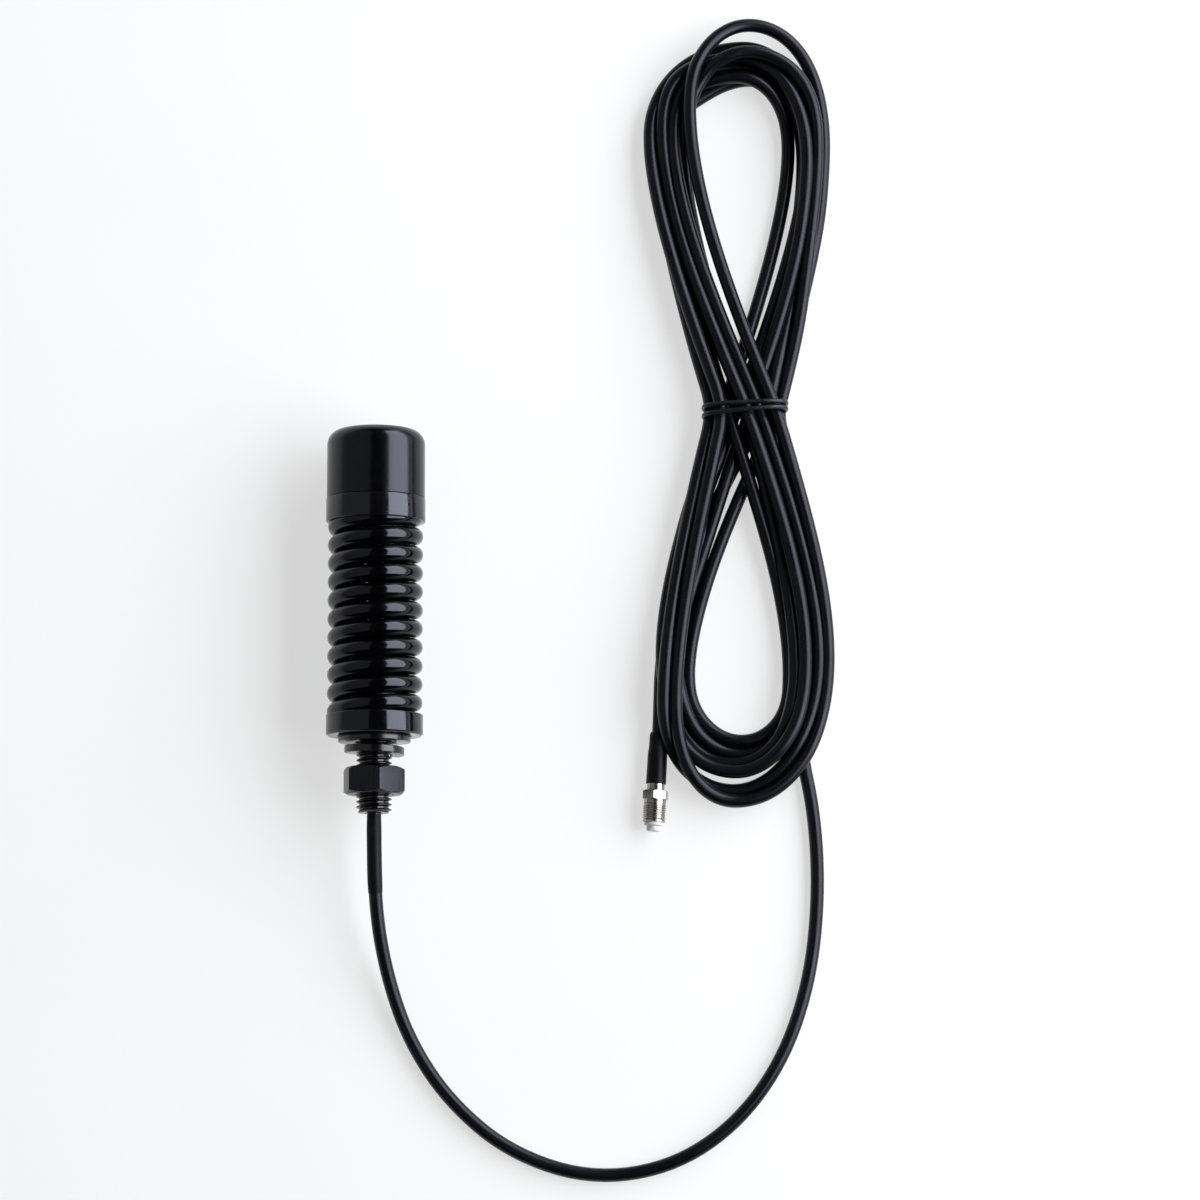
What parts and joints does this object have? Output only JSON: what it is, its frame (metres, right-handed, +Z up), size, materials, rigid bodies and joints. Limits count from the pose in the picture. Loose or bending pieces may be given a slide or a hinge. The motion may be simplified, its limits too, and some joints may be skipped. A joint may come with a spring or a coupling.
{
  "type": "omnidirectional antenna",
  "caption": "Stubby black omnidirectional antenna with a capped head on a close-wound flex spring, a threaded panel stud with nut and washers, and a tied coax lead ending in a small RF jack.",
  "frame": {"origin": "centre of the seat, the flat ring under the lower collar that meets the panel, on the antenna's axis", "axes": "+Y along the antenna's axis from the seat towards the cap, +Z up from the surface it lies on, +X towards the tied lead"},
  "size_m": [0.1718, 0.3982, 0.0336],
  "materials": {
    "black_enamel": "gloss black enamel over steel",
    "black_chrome": "gloss black chrome plate on steel",
    "spring_steel": "gloss black coat on spring steel wire",
    "radome_plastic": "satin-gloss black moulded plastic",
    "cable_jacket": "satin black PVC jacket",
    "shrink_sleeve": "satin black heat-shrink polyolefin",
    "tie_plastic": "plastic-covered tie wire",
    "nickel": "bright nickel plate on brass",
    "gold_contact": "gold-plated contact",
    "white_dielectric": "white PTFE",
    "brass": "bright brass sheet and wire",
    "zinc_steel": "turned steel, zinc plated",
    "rubber_seal": "nitrile rubber",
    "natural_plastic": "natural acetal",
    "potting_resin": "black epoxy"
  },
  "bodies": {
    "base": {"lower_collar": "black_enamel", "mounting_stud": "black_enamel", "stud_seal": "rubber_seal", "lower_spring_plug": "zinc_steel", "potting": "potting_resin", "coax_cable": "cable_jacket", "exit_sleeve": "shrink_sleeve", "cable_hank": "cable_jacket", "hank_tie": "tie_plastic", "cable_tail": "cable_jacket", "connector_boot": "shrink_sleeve", "crimp_ferrule": "nickel", "jack_body": "nickel", "jack_insulator": "white_dielectric", "centre_contact": "gold_contact"},
    "plain_washer": {"plain_washer": "black_chrome"},
    "lock_washer": {"lock_washer": "black_chrome"},
    "hex_nut": {"hex_nut": "black_enamel"},
    "spring": {"spring_coil": "spring_steel", "inner_coax": "cable_jacket"},
    "head": {"upper_collar": "black_enamel", "upper_spring_plug": "zinc_steel", "coax_core": "white_dielectric", "braid_ferrule": "nickel", "cap_seal": "rubber_seal", "radome_cap": "radome_plastic", "insulator_disc": "natural_plastic", "radiator_support": "natural_plastic", "radiator_disc": "brass", "feed_pin": "brass", "ground_post": "brass"}
  },
  "joints": [
    {"name": "flex_lift", "type": "hinge", "parent": "base", "child": "spring", "pos_m": [0, 0.02355, 0], "axis": [1, 0, 0], "range_deg": [-25, 25], "stiffness_Nm_per_rad": 8, "deforming": ["spring_coil", "inner_coax"]},
    {"name": "flex_side", "type": "hinge", "parent": "spring", "child": "head", "pos_m": [0, 0.05625, 0], "axis": [0, 0, 1], "range_deg": [-25, 25], "stiffness_Nm_per_rad": 8, "deforming": ["spring_coil", "inner_coax"]},
    {"name": "plain_washer_slide", "type": "slide", "parent": "base", "child": "plain_washer", "axis": [0, -1, 0], "range_m": [0, 0.0004]},
    {"name": "nut_spin", "type": "hinge", "parent": "base", "child": "lock_washer", "pos_m": [0, -0.015, 0], "axis": [0, -1, 0], "range_deg": [-780, 1230]},
    {"name": "nut_travel", "type": "slide", "parent": "lock_washer", "child": "hex_nut", "axis": [0, -1, 0], "range_m": [-0.0038, 0.006]}
  ],
  "couplings": [
    {"joint": "nut_travel", "follows": "nut_spin", "m_per_rad": 0.00027852}
  ]
}
